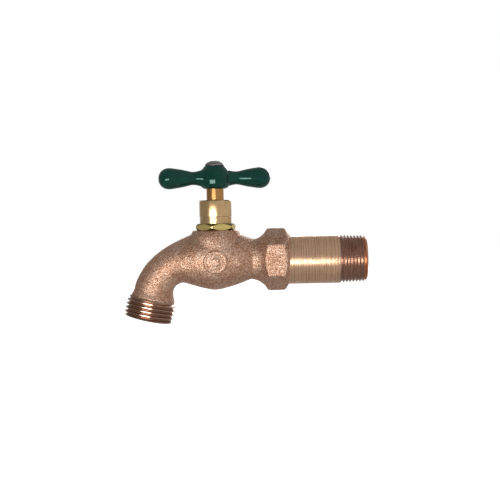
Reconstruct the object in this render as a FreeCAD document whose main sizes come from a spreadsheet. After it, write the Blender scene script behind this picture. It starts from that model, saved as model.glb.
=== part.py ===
"""Compression hose bibb, 3/4 inch, with a male pipe inlet and a male hose thread on a bent spout.

Frame: millimetres. The origin is the centre of the inlet thread's end face. +X runs out along the
inlet axis, towards the wall, +Z is up, along the stem, and the spout hangs at -X.
The valve is drawn shut. Turning the handle anticlockwise by two turns lifts the stem 6.35 mm.
"""
import FreeCAD, Part
import math
import os
import re

import Sketcher

Vector = FreeCAD.Vector
UP = Vector(0, 0, 1)
SIDE = Vector(0, 1, 0)

doc = FreeCAD.newDocument("hose_bibb")
sheet = doc.addObject("Spreadsheet::Sheet", "Dims")

# ---------------------------------------------------------------- driving dimensions
DIMENSIONS = {
    # pipe end
    "stem_offset": 83.0,        # stem axis to the inlet end face
    "pipe_radius": 13.35,       # shank, the outside of 3/4 inch pipe
    "inlet_bore_radius": 9.3,
    "pipe_thread_length": 14.5,
    "pipe_thread_pitch": 1.814,  # 14 per inch
    "pipe_thread_depth": 1.1,
    "pipe_thread_taper": 0.03125,  # radius per length, 1 in 16 on diameter
    "pipe_thread_relief": 0.12,  # the crests start this much under the shank
    "pipe_mouth_chamfer": 1.3,
    "shank_length": 39.2,       # turned shank and thread together
    "shank_groove_radius": 12.9,  # tool run-out groove against the cast collar
    "collar_radius": 13.85,
    # wrench hexagon between chamber and shank
    "hexagon_middle": 33.6,     # from the stem axis
    "hexagon_rise": 0.45,       # the casting's core sits this much above the inlet axis
    "hexagon_ring_radius": 17.3,
    "hexagon_across_flats": 29.6,
    # chamber
    "chamber_radius": 16.3,
    "chamber_bow": 31.0,        # radius of the globe's outline, seen from the side
    "chamber_reach": 21.0,      # from the stem axis to each end of the globe
    "chamber_rise": 0.8,
    "boss_radius": 12.3,
    "boss_top": 17.1,           # bonnet seat
    "bonnet_hole_radius": 8.75,
    "gasket_recess_radius": 10.45,
    "gasket_recess_depth": 0.8,
    "upper_floor": -1.5,        # top of the partition
    "upper_radius": 8.9,
    "seat_top": -1.0,
    "seat_bore_radius": 5.6,
    "seat_outer_radius": 7.3,
    "port_radius": 5.6,         # way out of the upper chamber into the spout
    "throat_radius": 4.2,       # way down from the neck to the pool under the seat
    "throat_length": 14.0,
    "pool_radius": 8.6,
    "pool_bottom": -11.0,
    "pool_top": -4.3,
    # spout
    "spout_radius": 10.5,
    "spout_wall": 2.6,
    "run_rise": 2.6,            # the level run's axis over the inlet axis, at the stem
    "run_lean": 11.0,
    "bend_radius": 14.0,
    "rim_reach": 37.85,         # stem axis to the rim's centre
    "rim_drop": 31.1,           # inlet axis to the rim's centre
    "spout_lean": 13.5,         # spout thread axis from the vertical
    "hose_radius": 13.495,      # 3/4-11.5 NH crest
    "hose_pitch": 2.209,        # 11.5 per inch
    "hose_thread_depth": 1.4,
    "hose_crest_land": 0.36,
    "hose_collar": 0.9,         # chamfered lead before the first crest
    "hose_length": 11.5,
    "outlet_bore_radius": 9.2,
    # bonnet
    "flange_across_flats": 20.4,
    "flange_ring_radius": 11.5,
    "flange_top": 20.9,
    "flange_turn": 20.8,        # a corner faces front and a little left
    "neck_radius": 8.6,
    "neck_top": 24.5,
    "box_thread_radius": 7.3,   # packing nut thread
    "box_top": 31.6,
    "box_radius": 6.1,          # packing chamber
    "box_floor": 25.6,
    "relief_top": 24.1,
    "relief_radius": 6.5,
    "female_top": 20.5,
    "spigot_bottom": 11.3,
    "running_gap": 0.08,
    # packing nut
    "nut_bottom": 24.8,
    "nut_top": 33.9,
    "nut_radius": 9.1,
    "nut_flats": 17.6,
    "nut_lip": 2.0,
    "nut_hole_radius": 5.1,
    # stem
    "stem_radius": 4.75,        # 3/8 inch rod
    "stem_bottom": 4.9,
    "drive_radius": 6.25,
    "drive_lead": 3.175,        # 8 per inch
    "drive_bottom": 8.5,
    "drive_top": 17.5,
    "stem_shoulder": 40.05,
    "square_side": 6.4,
    "square_top": 52.2,
    "swivel_radius": 2.5,
    "swivel_top": 9.3,
    # washer
    "holder_radius": 7.75,
    "holder_top": 4.6,
    "washer_radius": 6.5,
    "washer_bottom": -0.9,
    "washer_top": 2.1,
    "washer_screw_radius": 1.6,
    # handle
    "hub_bottom": 40.1,
    "hub_top": 52.9,
    "arm_height": 46.1,
    "arm_half_length": 31.35,
    "arm_ball_radius": 5.75,
    "arm_neck_radius": 3.65,
    "handle_turn": 11.0,
    "screw_head_radius": 5.35,
    "screw_head_height": 2.8,
    "screw_radius": 2.0,
}
for row, (alias, size) in enumerate(DIMENSIONS.items(), start=1):
    sheet.set(f"A{row}", alias)
    sheet.set(f"B{row}", str(size))
    sheet.setAlias(f"B{row}", alias)
doc.recompute()

STEM_X = -DIMENSIONS["stem_offset"]


def size(text: str) -> float:
    """The value in millimetres of an expression over the sheet's aliases."""
    return float(sheet.evalExpression(text))


def dims(text: str) -> str:
    """An expression over bare aliases, rewritten with the sheet's name before each alias."""
    return re.sub(r"[a-z_]+", lambda word: ("Dims." if word[0] in DIMENSIONS else "") + word[0], text)


# ---------------------------------------------------------------- building blocks
def bind(thing, **sizes):
    """Binds properties of an object to expressions over the sheet."""
    for name, text in sizes.items():
        thing.setExpression(name, dims(text))
    return thing


def put(thing, across="0", height="0", rotation=None):
    """Places an object on the stem axis, or across from it, at a height over the inlet axis."""
    if rotation is not None:
        thing.Placement = FreeCAD.Placement(Vector(), rotation)
    thing.setExpression("Placement.Base.x", dims(f"{across} - stem_offset"))
    thing.setExpression("Placement.Base.z", dims(height))
    return thing


def turned(name, outline, about="V_Axis"):
    """A Body with one closed outline, turned about the vertical or the horizontal sketch axis.

    outline is a list of (along X, along Z) expressions, measured from the body's own origin. A point
    with a third expression starts a clockwise arc of that radius to the next point.
    """
    body = doc.addObject("PartDesign::Body", name)
    sketch = body.newObject("Sketcher::SketchObject", name + "_outline")
    planes = [o for o in body.Origin.OriginFeatures if o.Role == "XZ_Plane"]
    sketch.AttachmentSupport = [(planes[0], "")]
    sketch.MapMode = "FlatFace"
    texts = [(dims(u), dims(v)) for u, v, *_ in outline]
    corners = [Vector(float(sketch.evalExpression(u)), float(sketch.evalExpression(v)), 0) for u, v in texts]
    count = len(corners)
    # a clockwise arc's own start and end are swapped, so each edge says which end is which
    heads, tails = [1] * count, [2] * count
    bows = {i: dims(point[2]) for i, point in enumerate(outline) if len(point) == 3}
    for i, (start, end) in enumerate(zip(corners, corners[1:] + corners[:1])):
        if i in bows:
            radius = float(sketch.evalExpression(bows[i]))
            half = (end - start) / 2
            inward = Vector(half.y, -half.x, 0).normalize()
            centre = start + half + inward * math.sqrt(radius ** 2 - half.Length ** 2)
            middle = centre - inward * radius
            sketch.addGeometry(Part.Arc(start, middle, end))
            heads[i], tails[i] = 2, 1
        else:
            sketch.addGeometry(Part.LineSegment(start, end))
    for i in range(count):
        after = (i + 1) % count
        sketch.addConstraint(Sketcher.Constraint("Coincident", i, tails[i], after, heads[after]))
    for i, text in bows.items():
        index = sketch.addConstraint(Sketcher.Constraint("Radius", i, float(sketch.evalExpression(text))))
        sketch.setExpression(f"Constraints[{index}]", text)
    for i, (corner, (u, v)) in enumerate(zip(corners, texts)):
        for kind, distance, text in (("DistanceX", corner.x, u), ("DistanceY", corner.y, v)):
            index = sketch.addConstraint(Sketcher.Constraint(kind, -1, 1, i, heads[i], distance))
            sketch.setExpression(f"Constraints[{index}]", text)
    doc.recompute()
    turn = body.newObject("PartDesign::Revolution", name + "_turn")
    turn.Profile = sketch
    turn.ReferenceAxis = (sketch, [about])
    turn.Angle = 360
    return body


def cylinder(name, radius, bottom, top, across="0"):
    """An upright cylinder between two heights."""
    rod = doc.addObject("Part::Cylinder", name)
    bind(rod, Radius=radius, Height=f"({top}) - ({bottom})")
    return put(rod, across, bottom)


def prism(name, across_flats, bottom, top, turn="0"):
    """An upright hexagonal prism on the stem axis, with its first corner turned from +X."""
    bar = doc.addObject("Part::Prism", name)
    bar.Polygon = 6
    bind(bar, Circumradius=f"{across_flats} / (2 * cos(30))", Height=f"({top}) - ({bottom})")
    return put(bar, height=bottom, rotation=FreeCAD.Rotation(UP, size(dims(turn))))


def block(name, length, width, bottom, top, rotation=None):
    """A box centred on the stem axis between two heights."""
    box = doc.addObject("Part::Box", name)
    bind(box, Length=length, Width=width, Height=f"({top}) - ({bottom})")
    turn = rotation or FreeCAD.Rotation()
    corner = turn.multVec(Vector(-size(dims(length)) / 2, -size(dims(width)) / 2, 0))
    box.Placement = FreeCAD.Placement(corner + Vector(STEM_X, 0, size(dims(bottom))), turn)
    return box


def fused(name, *things):
    """The union of several objects."""
    union = doc.addObject("Part::MultiFuse", name)
    union.Shapes = list(things)
    return union


def cut(name, base, *tools):
    """An object less one or more tools."""
    result = doc.addObject("Part::Cut", name)
    result.Base = base
    result.Tool = tools[0] if len(tools) == 1 else fused(name + "_tools", *tools)
    return result


def common(name, first, second):
    """What two objects share."""
    result = doc.addObject("Part::Common", name)
    result.Base = first
    result.Tool = second
    return result


def elbow(name, radius, skip="0"):
    """A round bar along the spout: a nearly level run, a bend, and a run along the hose thread.

    skip is how far along the level run it starts, measured from the stem axis.
    """
    run_angle = math.radians(size("Dims.run_lean"))
    drop_angle = math.radians(90 - size("Dims.spout_lean"))
    bend = size("Dims.bend_radius")
    level = Vector(-math.cos(run_angle), 0, -math.sin(run_angle))
    down = Vector(-math.cos(drop_angle), 0, -math.sin(drop_angle))
    start = Vector(STEM_X, 0, size("Dims.run_rise"))
    rim = Vector(STEM_X - size("Dims.rim_reach"), 0, -size("Dims.rim_drop"))
    # the two runs meet where start + level * a = rim - down * b
    gap = rim - start
    turn = level.x * down.z - level.z * down.x
    reach = (gap.x * down.z - gap.z * down.x) / turn
    corner = start + level * reach
    back = bend * math.tan((drop_angle - run_angle) / 2)
    first, last = corner - level * back, corner + down * back
    centre = first + SIDE.cross(level) * -bend
    pieces = []
    drop_end = rim - down * size("Dims.hose_length")
    runs = (("run", start + level * size(dims(skip)), first), ("drop", last, drop_end))
    for part_name, foot, head in runs:
        rod = doc.addObject("Part::Cylinder", f"{name}_{part_name}")
        bind(rod, Radius=radius)
        rod.Height = (head - foot).Length
        rod.Placement = FreeCAD.Placement(foot, FreeCAD.Rotation(UP, head - foot))
        pieces.append(rod)
    ring = doc.addObject("Part::Torus", f"{name}_bend")
    bind(ring, Radius1="bend_radius", Radius2=radius)
    ring.Angle3 = math.degrees(drop_angle - run_angle)
    out, over = (first - centre).normalize(), (last - centre).normalize()
    axle = out.cross(over)
    ring.Placement = FreeCAD.Placement(centre, FreeCAD.Rotation(out, axle.cross(out), axle, "ZXY"))
    return fused(name, ring, *pieces)


# ---------------------------------------------------------------- valve body, one casting
spout_turn = FreeCAD.Rotation(SIDE, DIMENSIONS["spout_lean"])

chamber_end = "chamber_radius - chamber_bow + sqrt(chamber_bow ^ 2 - chamber_reach ^ 2)"
chamber = put(turned("chamber", [
    ("0 - chamber_reach", "0"), ("0 - chamber_reach", chamber_end, "chamber_bow"),
    ("chamber_reach", chamber_end), ("chamber_reach", "0"),
], about="H_Axis"), "0", "chamber_rise")
spout = elbow("spout", "spout_radius")
boss = put(turned("boss", [
    ("0", "0"), ("15.6", "4"), ("13.4", "13.2"), ("boss_radius", "15.9"),
    ("boss_radius", "boss_top"), ("0", "boss_top"),
]))
flare = put(turned("flare", [
    ("-22", "0"), ("-22", "13.2"), ("-18.5", "11.9"), ("-14.1", "10.6"), ("-11", "11.3"),
    ("-8.9", "12.4"), ("-6.9", "14.7"),
    ("-5.4", "16.4"), ("-3.8", "hexagon_ring_radius - 0.1"), ("-1", "hexagon_ring_radius"),
    ("2.6", "hexagon_ring_radius"), ("3.9", "hexagon_ring_radius - 0.4"), ("5.9", "collar_radius"),
    ("8.6", "collar_radius"), ("8.6", "0"),
], about="H_Axis"), "hexagon_middle", "hexagon_rise")
wrench = doc.addObject("Part::Prism", "wrench")
wrench.Polygon = 6
bind(wrench, Circumradius="hexagon_across_flats / (2 * cos(30))", Height="24")
put(wrench, "hexagon_middle - 14.5", "hexagon_rise", FreeCAD.Rotation(SIDE, 90))
hexagon = common("hexagon", flare, wrench)

pipe_outline = [
    ("-44", "0"), ("-44", "shank_groove_radius"), ("0 - shank_length - 0.4", "shank_groove_radius"),
    ("0 - shank_length", "pipe_radius"), ("0 - pipe_thread_length", "pipe_radius"),
]
for tooth in range(int(size("Dims.pipe_thread_length / Dims.pipe_thread_pitch"))):
    foot = f"{tooth} * pipe_thread_pitch - pipe_thread_length"
    fall = f"(pipe_thread_relief + ({tooth} + 1) * pipe_thread_pitch * pipe_thread_taper)"
    pipe_outline += [
        (f"{foot} + 0.5 * pipe_thread_pitch", f"pipe_radius - pipe_thread_depth - {fall}"),
        (f"{foot} + 0.9 * pipe_thread_pitch", f"pipe_radius - {fall}"),
        (f"{foot} + pipe_thread_pitch", f"pipe_radius - {fall}"),
    ]
pipe_outline += [("0", "pipe_radius - 0.4 - pipe_mouth_chamfer"), ("0", "0")]
shank = put(turned("shank", pipe_outline, about="H_Axis"), "stem_offset", "0")

hose_root = "hose_radius - hose_thread_depth"
hose_outline = [("0", "14"), (hose_root, "14"), (hose_root, "hose_length + 0.5")]
for ridge in reversed(range(5)):
    middle = f"hose_collar + 0.6 + {ridge} * hose_pitch"
    foot = f"{middle} - hose_pitch / 2" if ridge else "0"
    hose_outline += [
        ("hose_radius", f"{middle} + hose_crest_land / 2"),
        ("hose_radius", f"{middle} - hose_crest_land / 2"),
        (hose_root, foot),
    ]
hose_outline += [("0", "0")]
hose_thread = put(turned("hose_thread", hose_outline), "0 - rim_reach", "0 - rim_drop", spout_turn)

upper_hole = cylinder("upper_hole", "upper_radius", "upper_floor", "12")
bonnet_hole = cylinder("bonnet_hole", "bonnet_hole_radius", "10", "boss_top + 1")
gasket_recess = cylinder(
    "gasket_recess", "gasket_recess_radius", "boss_top - gasket_recess_depth", "boss_top + 1")
spout_way = elbow("spout_way", "spout_radius - spout_wall", "15.5")
port = put(turned("port", [
    ("-17", "0"), ("-17", "port_radius"), ("-3", "port_radius"), ("-3", "0"),
], about="H_Axis"), "0", "4.6")
outlet_bore = put(turned("outlet_bore", [
    ("0", "-1"), ("outlet_bore_radius", "-1"), ("outlet_bore_radius", "11.8"), ("0", "11.8"),
]), "0 - rim_reach", "0 - rim_drop", spout_turn)
inlet_bore = put(turned("inlet_bore", [
    ("-42", "0"), ("-42", "inlet_bore_radius"), ("1", "inlet_bore_radius"), ("1", "0"),
], about="H_Axis"), "stem_offset", "0")
neck_bore = put(turned("neck_bore", [
    ("18.5", "0"), ("18.5", "7.8"), ("32", "7.8"), ("41.5", "inlet_bore_radius"), ("41.5", "0"),
], about="H_Axis"), "0", "0.3")
throat = put(turned("throat", [
    ("0", "0 - throat_radius"), ("0", "throat_length"), ("throat_radius", "throat_length"),
    ("throat_radius", "0", "throat_radius"),
]), "11.94", "-6.77", FreeCAD.Rotation(SIDE, 50))
pool = cylinder("pool", "pool_radius", "pool_bottom", "pool_top", "2.5")
seat_ring = cylinder("seat_ring", "seat_outer_radius", "upper_floor - 0.5", "seat_top")
seat_bore = cylinder("seat_bore", "seat_bore_radius", "pool_top - 1", "seat_top + 1")

casting = fused("casting", chamber, spout, boss, hexagon, shank, hose_thread)
hollow_casting = cut(
    "hollow_casting", casting,
    upper_hole, bonnet_hole, gasket_recess, spout_way, port, outlet_bore, inlet_bore, neck_bore, throat, pool)
seated_casting = fused("seated_casting", hollow_casting, seat_ring)
valve_body = cut("valve_body", seated_casting, seat_bore)

# ---------------------------------------------------------------- bonnet and packing
bonnet_turned = put(turned("bonnet_turned", [
    ("drive_radius + running_gap", "spigot_bottom"), ("neck_radius - 0.8", "spigot_bottom"),
    ("neck_radius", "spigot_bottom + 0.8"), ("neck_radius", "boss_top"),
    ("flange_ring_radius - 1.2", "boss_top"), ("flange_ring_radius", "boss_top + 0.9"),
    ("flange_ring_radius", "flange_top - 0.9"), ("flange_ring_radius - 1.2", "flange_top"),
    ("neck_radius", "flange_top"), ("neck_radius", "neck_top"), ("box_thread_radius", "neck_top"),
    ("box_thread_radius", "box_top - 0.5"), ("box_thread_radius - 0.5", "box_top"),
    ("box_radius", "box_top"), ("box_radius", "box_floor"), ("stem_radius + running_gap", "box_floor"),
    ("stem_radius + running_gap", "relief_top"), ("relief_radius", "relief_top"),
    ("relief_radius", "female_top"), ("drive_radius + running_gap", "female_top"),
]))
flange_hexagon = prism(
    "flange_hexagon", "flange_across_flats", "spigot_bottom - 1", "box_top + 1", "flange_turn")
bonnet = common("bonnet", bonnet_turned, flange_hexagon)

bonnet_gasket = put(turned("bonnet_gasket", [
    ("bonnet_hole_radius + 0.2", "boss_top - 0.75"), ("gasket_recess_radius - 0.1", "boss_top - 0.75"),
    ("gasket_recess_radius - 0.1", "boss_top - 0.02"), ("bonnet_hole_radius + 0.2", "boss_top - 0.02"),
]))
packing_ring = put(turned("packing_ring", [
    ("stem_radius + running_gap", "box_floor + 0.05"), ("box_radius - 0.05", "box_floor + 0.05"),
    ("box_radius - 0.05", "box_floor + 3.6"), ("stem_radius + running_gap", "box_floor + 3.6"),
]))
packing_gland = put(turned("packing_gland", [
    ("stem_radius + running_gap", "box_floor + 3.65"), ("box_radius - 0.1", "box_floor + 3.65"),
    ("box_radius - 0.1", "nut_top - nut_lip - 0.05"),
    ("stem_radius + running_gap", "nut_top - nut_lip - 0.05"),
]))
nut_turned = put(turned("nut_turned", [
    ("box_thread_radius + 0.05", "nut_bottom"), ("nut_radius - 0.3", "nut_bottom"),
    ("nut_radius", "nut_bottom + 0.3"), ("nut_radius", "nut_top - 0.7"), ("nut_radius - 0.9", "nut_top"),
    ("nut_hole_radius", "nut_top"), ("nut_hole_radius", "nut_top - nut_lip"),
    ("box_thread_radius + 0.05", "nut_top - nut_lip"),
]))
nut_flats = block("nut_flats_bar", "nut_flats", "3 * nut_radius", "nut_bottom - 1", "nut_top + 1")
packing_nut = common("packing_nut", nut_turned, nut_flats)

# ---------------------------------------------------------------- stem and washer
drive_teeth = int(size("(Dims.drive_top - Dims.drive_bottom) / Dims.drive_lead * 2"))
stem_outline = [
    ("swivel_radius + running_gap", "stem_bottom"), ("stem_radius + 0.3", "stem_bottom"),
    ("stem_radius + 0.3", "drive_bottom"),
]
for tooth in range(drive_teeth):
    foot = f"drive_bottom + {tooth} * drive_lead / 2"
    stem_outline += [
        ("drive_radius", f"{foot} + 0.5"), ("drive_radius", f"{foot} + 1"),
        ("drive_radius - 0.9", f"{foot} + 1.3"), ("drive_radius - 0.9", f"{foot} + drive_lead / 2"),
    ]
stem_outline += [
    ("stem_radius", "drive_top"), ("stem_radius", "stem_shoulder"),
    ("screw_radius + 0.05", "stem_shoulder"), ("screw_radius + 0.05", "square_top - 12.4"),
    ("0", "square_top - 12.4"), ("0", "swivel_top + 0.3"),
    ("swivel_radius + running_gap", "swivel_top + 0.3"),
]
stem_turned = put(turned("stem_turned", stem_outline))
handle_rotation = FreeCAD.Rotation(UP, DIMENSIONS["handle_turn"])
square_bar = block(
    "square_bar", "square_side", "square_side", "stem_shoulder - 0.5", "square_top", handle_rotation)
screw_hole = cylinder("screw_hole", "screw_radius + 0.05", "stem_shoulder - 1", "square_top + 1")
square_end = cut("square_end", square_bar, screw_hole)
stem = fused("stem", stem_turned, square_end)

washer_holder = put(turned("washer_holder", [
    ("washer_screw_radius + 0.05", "washer_top"), ("washer_radius + 0.1", "washer_top"),
    ("washer_radius + 0.1", "washer_bottom + 1.2"), ("holder_radius", "washer_bottom + 1.2"),
    ("holder_radius", "holder_top - 0.6"), ("holder_radius - 0.6", "holder_top"),
    ("swivel_radius", "holder_top"), ("swivel_radius", "swivel_top"), ("0", "swivel_top"),
    ("0", "swivel_top - 1"), ("washer_screw_radius + 0.05", "swivel_top - 1"),
]))
seat_washer = put(turned("seat_washer", [
    ("washer_screw_radius + 0.3", "washer_bottom"), ("washer_radius - 0.5", "washer_bottom"),
    ("washer_radius", "washer_bottom + 0.5"), ("washer_radius", "washer_top - 0.02"),
    ("washer_screw_radius + 0.3", "washer_top - 0.02"),
]))
washer_screw_turned = put(turned("washer_screw_turned", [
    ("0", "washer_bottom - 1.7"), ("2.6", "washer_bottom - 1.7"), ("3.3", "washer_bottom - 1"),
    ("3.3", "washer_bottom - 0.02"), ("washer_screw_radius", "washer_bottom - 0.02"),
    ("washer_screw_radius", "swivel_top - 1.3"), ("0", "swivel_top - 1.3"),
]))
washer_slot = block("washer_slot", "8", "0.9", "washer_bottom - 2", "washer_bottom - 0.9")
seat_washer_screw = cut("seat_washer_screw", washer_screw_turned, washer_slot)

# ---------------------------------------------------------------- handle
hub = put(turned("hub", [
    ("0", "hub_bottom"), ("5.7", "hub_bottom"), ("7.3", "hub_bottom + 0.7"), ("8.3", "hub_bottom + 2"),
    ("8.3", "hub_top - 4.2"), ("7.5", "hub_top - 2.5"), ("5.6", "hub_top"), ("0", "hub_top"),
]))


def arm_outline(side):
    """Half the arm's outline along its own axis, from the hub to the ball end."""
    ball = "( arm_half_length - arm_ball_radius - 0.3 )"
    steps = [
        ("0", "0"), ("0", "4.6"), ("8.5", "4.5"), ("11.6", "arm_neck_radius + 0.05"),
        ("13.4", "arm_neck_radius"), ("16.5", "4.3"), ("20", "5.1"),
        (f"{ball} - 1.2", "arm_ball_radius - 0.05"), (f"{ball} + 0.4", "arm_ball_radius"),
        (f"{ball} + 2.2", "arm_ball_radius - 0.5"), (f"{ball} + 4.2", "arm_ball_radius - 2"),
        (f"{ball} + 5.5", "arm_ball_radius - 3.8"), ("arm_half_length", "1"), ("arm_half_length", "0"),
    ]
    return [(f"{side} * ( {along} )", radius) for along, radius in steps]


arms = [
    put(turned(f"{name}_arm", arm_outline(side), about="H_Axis"), "0", "arm_height", handle_rotation)
    for name, side in (("near", -1), ("far", 1))
]
handle_blank = fused("handle_blank", hub, *arms)
broach = block(
    "broach", "square_side + 0.1", "square_side + 0.1", "hub_bottom - 1", "square_top + 0.1", handle_rotation)
handle_screw_hole = cylinder("handle_screw_hole", "screw_radius + 0.4", "hub_top - 2", "hub_top + 1")
handle = cut("handle", handle_blank, broach, handle_screw_hole)

screw_turned = put(turned("screw_turned", [
    ("0", "square_top - 11"), ("screw_radius", "square_top - 11"), ("screw_radius", "hub_top + 0.02"),
    ("screw_head_radius", "hub_top + 0.02"), ("screw_head_radius", "hub_top + 0.7"),
    ("screw_head_radius - 0.7", "hub_top + 1.7"), ("screw_head_radius - 1.9", "hub_top + 2.4"),
    ("screw_head_radius - 3.3", "hub_top + screw_head_height"), ("0", "hub_top + screw_head_height"),
]))
recess = [
    block(f"recess_{i}", "4.4", "0.9", "hub_top + 1.2", "hub_top + 4", FreeCAD.Rotation(UP, 30 + 90 * i))
    for i in range(2)
]
handle_screw = cut("handle_screw", screw_turned, *recess)

# ---------------------------------------------------------------- check and write
SUB_PARTS = [
    valve_body, bonnet, bonnet_gasket, packing_ring, packing_gland, packing_nut,
    stem, washer_holder, seat_washer, seat_washer_screw, handle, handle_screw,
]
doc.recompute()
for thing in doc.Objects:
    if {"Invalid", "Error"} & set(thing.State):
        raise RuntimeError(f"{thing.Name} failed: {thing.State}")
for thing in SUB_PARTS:
    if thing.Shape.isNull() or not thing.Shape.isValid():
        raise RuntimeError(f"{thing.Name} has no valid shape")
    if len(thing.Shape.Solids) != 1:
        raise RuntimeError(f"{thing.Name} is {len(thing.Shape.Solids)} solids, not one")

os.makedirs("parts", exist_ok=True)
for thing in SUB_PARTS:
    thing.Label = thing.Name
    thing.Shape.exportStep(f"parts/{thing.Label}.step")
    box = thing.Shape.BoundBox
    print(f"{thing.Label}: {thing.Shape.Volume:.0f} mm3, x {box.XMin:.1f} to {box.XMax:.1f}, "
          f"y {box.YMin:.1f} to {box.YMax:.1f}, z {box.ZMin:.1f} to {box.ZMax:.1f}")
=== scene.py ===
"""Looks of a 3/4 inch hose bib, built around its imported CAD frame.

Sizes are in millimetres until a mesh is finished, and are measured from the point where the stem axis
crosses the inlet axis. A finished mesh is in metres in the row frame, whose origin is the inlet's end.
"""
import logging
import math
from dataclasses import dataclass, field
from enum import Enum
from typing import Iterable, Sequence

import bmesh
import bpy
from mathutils import Matrix, Vector


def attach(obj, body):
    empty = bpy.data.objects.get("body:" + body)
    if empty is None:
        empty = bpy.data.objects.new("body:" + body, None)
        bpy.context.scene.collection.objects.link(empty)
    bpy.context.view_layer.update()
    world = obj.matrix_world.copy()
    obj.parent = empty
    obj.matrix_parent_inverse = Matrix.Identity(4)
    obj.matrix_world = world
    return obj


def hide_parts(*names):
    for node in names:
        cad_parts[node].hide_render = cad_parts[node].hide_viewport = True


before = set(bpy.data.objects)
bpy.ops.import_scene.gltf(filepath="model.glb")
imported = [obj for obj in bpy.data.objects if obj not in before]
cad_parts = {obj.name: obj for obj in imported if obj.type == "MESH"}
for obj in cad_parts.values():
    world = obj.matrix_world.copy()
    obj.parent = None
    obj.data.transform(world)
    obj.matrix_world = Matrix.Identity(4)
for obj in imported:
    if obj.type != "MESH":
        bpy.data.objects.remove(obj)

LOG = logging.getLogger("hose_bib")
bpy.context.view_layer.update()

MM = 0.001
STEM_OFFSET = 83.0                # stem axis to the inlet's end face
ROW_FRAME = Matrix.Scale(MM, 4) @ Matrix.Translation((-STEM_OFFSET, 0.0, 0.0))
TO_X = Matrix.Rotation(math.pi / 2, 4, "Y")   # an upright shape laid along +X

Outline = Sequence[tuple[float, float]]
Modifier = tuple[str, dict]


class Body(str, Enum):
    """The rigid bodies that new pieces ride on."""

    VALVE = "valve"
    SPINDLE = "spindle"


class Slot(str, Enum):
    """The record's material slots that new pieces take their finish from."""

    CAST_BRONZE = "cast_bronze"
    YELLOW_BRASS = "yellow_brass"
    NUT_BRASS = "nut_brass"
    GREEN_ENAMEL = "green_enamel"
    SCREW_STEEL = "screw_steel"


# ---------------------------------------------------------------- shapes
class Form:
    """A shape under construction, in millimetres."""

    def __init__(self) -> None:
        """Starts empty."""
        self.bm = bmesh.new()

    def add(self, *others: "Form") -> "Form":
        """Copies other shapes into this one.

        Args:
            others: Shapes to copy in. They are used up.

        Returns:
            This shape.
        """
        for other in others:
            mesh = bpy.data.meshes.new("passing")
            other.bm.to_mesh(mesh)
            other.bm.free()
            self.bm.from_mesh(mesh)
            bpy.data.meshes.remove(mesh)
        return self

    def move(self, matrix: Matrix) -> "Form":
        """Moves, turns or scales the whole shape and returns it."""
        bmesh.ops.transform(self.bm, matrix=matrix, verts=self.bm.verts)
        return self

    def outward(self) -> "Form":
        """Merges doubles, turns every face outward and returns the shape."""
        bmesh.ops.remove_doubles(self.bm, verts=self.bm.verts, dist=1e-4)
        bmesh.ops.recalc_face_normals(self.bm, faces=self.bm.faces)
        return self

    def modified(self, *modifiers: Modifier) -> "Form":
        """Runs modifiers on the shape.

        Args:
            modifiers: Pairs of a modifier's type and its settings. A setting that is a Form is given to
                the modifier as a temporary object.

        Returns:
            A new shape, with the modifiers applied.
        """
        helpers: list[bpy.types.Object] = []

        def stand(form: "Form", name: str) -> bpy.types.Object:
            """Makes a temporary object.

            Args:
                form: Its shape, which is used up.
                name: Its name.

            Returns:
                The object.
            """
            mesh = bpy.data.meshes.new(name)
            form.bm.to_mesh(mesh)
            form.bm.free()
            thing = bpy.data.objects.new(name, mesh)
            bpy.context.scene.collection.objects.link(thing)
            helpers.append(thing)
            return thing

        base = stand(self, "base")
        for kind, settings in modifiers:
            modifier = base.modifiers.new(kind.title(), kind)
            for key, value in settings.items():
                setattr(modifier, key, stand(value, "tool") if isinstance(value, Form) else value)
        depsgraph = bpy.context.evaluated_depsgraph_get()
        mesh = bpy.data.meshes.new_from_object(base.evaluated_get(depsgraph))
        result = Form()
        result.bm.from_mesh(mesh)
        bpy.data.meshes.remove(mesh)
        for helper in helpers:
            data = helper.data
            bpy.data.objects.remove(helper)
            bpy.data.meshes.remove(data)
        return result

    def finished(self, name: str, materials: Iterable[bpy.types.Material],
                 smooth_angle: float) -> bpy.types.Object:
        """Puts the shape in the row frame as an object at the origin.

        Args:
            name: The piece's name.
            materials: The materials for its slots, in order.
            smooth_angle: Edges sharper than this many degrees stay sharp.

        Returns:
            The new object.
        """
        self.move(ROW_FRAME)
        for face in self.bm.faces:
            face.smooth = True
        for edge in self.bm.edges:
            if edge.is_manifold:
                edge.smooth = edge.calc_face_angle() < math.radians(smooth_angle)
        mesh = bpy.data.meshes.new(name)
        self.bm.to_mesh(mesh)
        self.bm.free()
        for material in materials:
            mesh.materials.append(material)
        thing = bpy.data.objects.new(name, mesh)
        bpy.context.scene.collection.objects.link(thing)
        return thing


def cut(operation: str, tool: Form, **settings: object) -> Modifier:
    """An exact Boolean with another shape.

    Args:
        operation: "INTERSECT" or "DIFFERENCE".
        tool: The other shape.
        settings: More of the modifier's settings.

    Returns:
        The modifier's type and settings.
    """
    return "BOOLEAN", {"operation": operation, "solver": "EXACT", "object": tool, **settings}


def broken_edges(width: float, sharper_than: float) -> Modifier:
    """A small round on every edge sharper than some degrees, as a file or a tumbler leaves."""
    return "BEVEL", {"affect": "EDGES", "width": width, "segments": 2, "profile": 0.5, "material": -1,
                     "limit_method": "ANGLE", "angle_limit": math.radians(sharper_than)}


def cast_skin(voxel: float, passes: int) -> tuple[Modifier, Modifier]:
    """Joins overlapping shapes into one skin with rounded corners."""
    return (("REMESH", {"mode": "VOXEL", "voxel_size": voxel}),
            ("SMOOTH", {"factor": 0.6, "iterations": passes}))


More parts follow.
